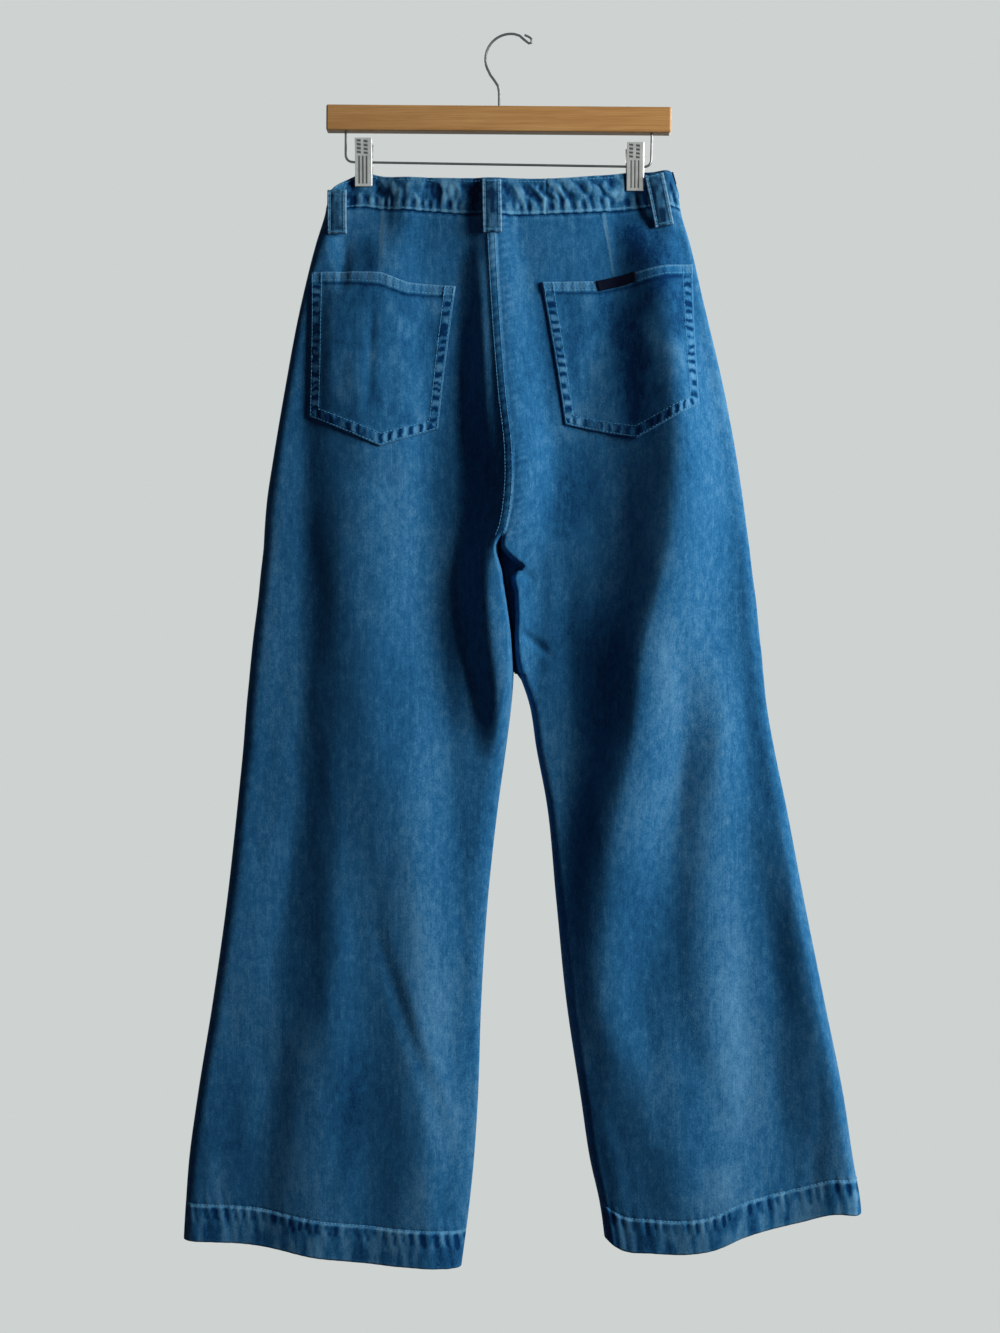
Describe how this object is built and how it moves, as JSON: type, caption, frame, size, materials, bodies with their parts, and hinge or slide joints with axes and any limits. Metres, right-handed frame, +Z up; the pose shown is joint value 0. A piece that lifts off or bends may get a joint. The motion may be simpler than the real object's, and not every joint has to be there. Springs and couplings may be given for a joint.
{
  "type": "wide-leg jeans on a wooden clip hanger",
  "caption": "High-rise wide-leg denim jeans hung by the waistband, back side out, from a wooden trouser hanger with two metal pinch clips and a wire hook.",
  "frame": {"origin": "inside top of the hook, where the hanger rests on its nail or rail", "axes": "+Z up; +Y towards the wall, so that the back of the jeans faces -Y; +X to the viewer's right from behind, the wearer's right"},
  "size_m": [0.6771, 0.0754, 1.2325],
  "materials": {
    "denim": "mid-blue stonewashed twill with soft vertical streaks, matte, sewn with pale thread",
    "denim_trim": "the same denim folded double, puckered and worn paler along its edges",
    "label_cloth": "dark navy woven tape, blank",
    "honey_wood": "honey-coloured lacquered hardwood, satin",
    "steel": "bright plated steel",
    "button_brass": "aged brass shank button, plain"
  },
  "bodies": {
    "root": {"back_panel_left": "denim", "back_panel_right": "denim", "front_panel_left": "denim", "front_panel_right": "denim", "back_pocket_left": "denim", "back_pocket_right": "denim", "fly": "denim", "waistband": "denim_trim", "belt_loop_back_left": "denim_trim", "belt_loop_back_centre": "denim_trim", "belt_loop_back_right": "denim_trim", "belt_loop_front_right": "denim_trim", "belt_loop_front_left": "denim_trim", "pocket_label": "label_cloth", "hanger_bar": "honey_wood", "hanger_hook": "steel", "hanger_wire": "steel", "clip_left_near_leaf": "steel", "clip_left_far_leaf": "steel", "clip_left_spring": "steel", "clip_right_near_leaf": "steel", "clip_right_far_leaf": "steel", "clip_right_spring": "steel", "waist_button": "button_brass"}
  },
  "joints": []
}
